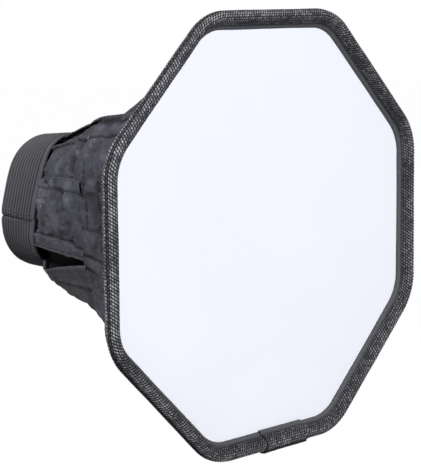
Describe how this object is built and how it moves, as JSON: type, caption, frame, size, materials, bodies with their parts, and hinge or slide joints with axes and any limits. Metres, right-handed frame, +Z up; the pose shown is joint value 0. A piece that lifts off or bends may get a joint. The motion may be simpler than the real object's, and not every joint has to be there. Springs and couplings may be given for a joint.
{
  "type": "octagonal flash softbox",
  "caption": "Small collapsible softbox: octagonal wire rim with a white diffuser, a tapering cloth cone and a strapped neck for a flash head.",
  "frame": {"origin": "centre of the neck's rear opening, in the plane of the cuffs' rear edges", "axes": "+Y along the light's axis towards the flash, so the diffuser faces -Y; +Z up, across two flats of the octagon; +X to the right seen from the front"},
  "size_m": [0.1854, 0.1275, 0.1862],
  "materials": {
    "black_cloth": "coated nylon, matt",
    "silver_lining": "metallised cloth, satin",
    "gusset_cloth": "black knit, matt",
    "woven_tape": "coarse woven polyester tape",
    "stiffener_board": "fibre board",
    "ribbed_elastic": "ribbed elastic webbing",
    "hook_and_loop": "hook and loop tape",
    "spring_steel": "bright spring steel",
    "sleeve_cloth": "plain nylon",
    "diffuser_cloth": "white translucent nylon"
  },
  "bodies": {
    "neck": {"flap_right": "black_cloth", "flap_top": "black_cloth", "flap_left": "black_cloth", "flap_bottom": "black_cloth", "lining_right": "silver_lining", "lining_top": "silver_lining", "lining_left": "silver_lining", "lining_bottom": "silver_lining", "gusset_top_right": "gusset_cloth", "gusset_top_left": "gusset_cloth", "gusset_bottom_left": "gusset_cloth", "gusset_bottom_right": "gusset_cloth", "seam_tape_right": "woven_tape", "seam_tape_left": "woven_tape", "cuff_right": "black_cloth", "cuff_top": "black_cloth", "cuff_left": "black_cloth", "cuff_bottom": "black_cloth", "board_right": "stiffener_board", "board_top": "stiffener_board", "board_left": "stiffener_board", "board_bottom": "stiffener_board", "strap_base": "ribbed_elastic", "loop_patch": "hook_and_loop"},
    "front": {"rim_wire": "spring_steel", "wire_sleeve": "sleeve_cloth", "rim_binding": "woven_tape", "binding_end": "woven_tape", "diffuser": "diffuser_cloth", "front_skirt": "black_cloth", "skirt_lining": "silver_lining"},
    "strap_top": {"strap_top_run": "ribbed_elastic"},
    "strap_end": {"strap_tail": "ribbed_elastic", "hook_patch": "hook_and_loop", "pull_tab": "woven_tape"}
  },
  "joints": [
    {"name": "collapse", "type": "slide", "parent": "neck", "child": "front", "axis": [0, 1, 0], "range_m": [0, 0.082], "deforming": ["flap_right", "flap_top", "flap_left", "flap_bottom", "lining_right", "lining_top", "lining_left", "lining_bottom", "gusset_top_right", "gusset_top_left", "gusset_bottom_left", "gusset_bottom_right", "seam_tape_right", "seam_tape_left", "front_skirt", "skirt_lining"]},
    {"name": "strap_lift", "type": "hinge", "parent": "neck", "child": "strap_top", "pos_m": [-0.04343, -0.0135, 0.02406], "axis": [0, -1, 0], "range_deg": [0, 65]},
    {"name": "strap_peel", "type": "hinge", "parent": "strap_top", "child": "strap_end", "pos_m": [0.05363, -0.0135, -0.00195], "axis": [0, -1, 0], "range_deg": [0, 110]}
  ]
}
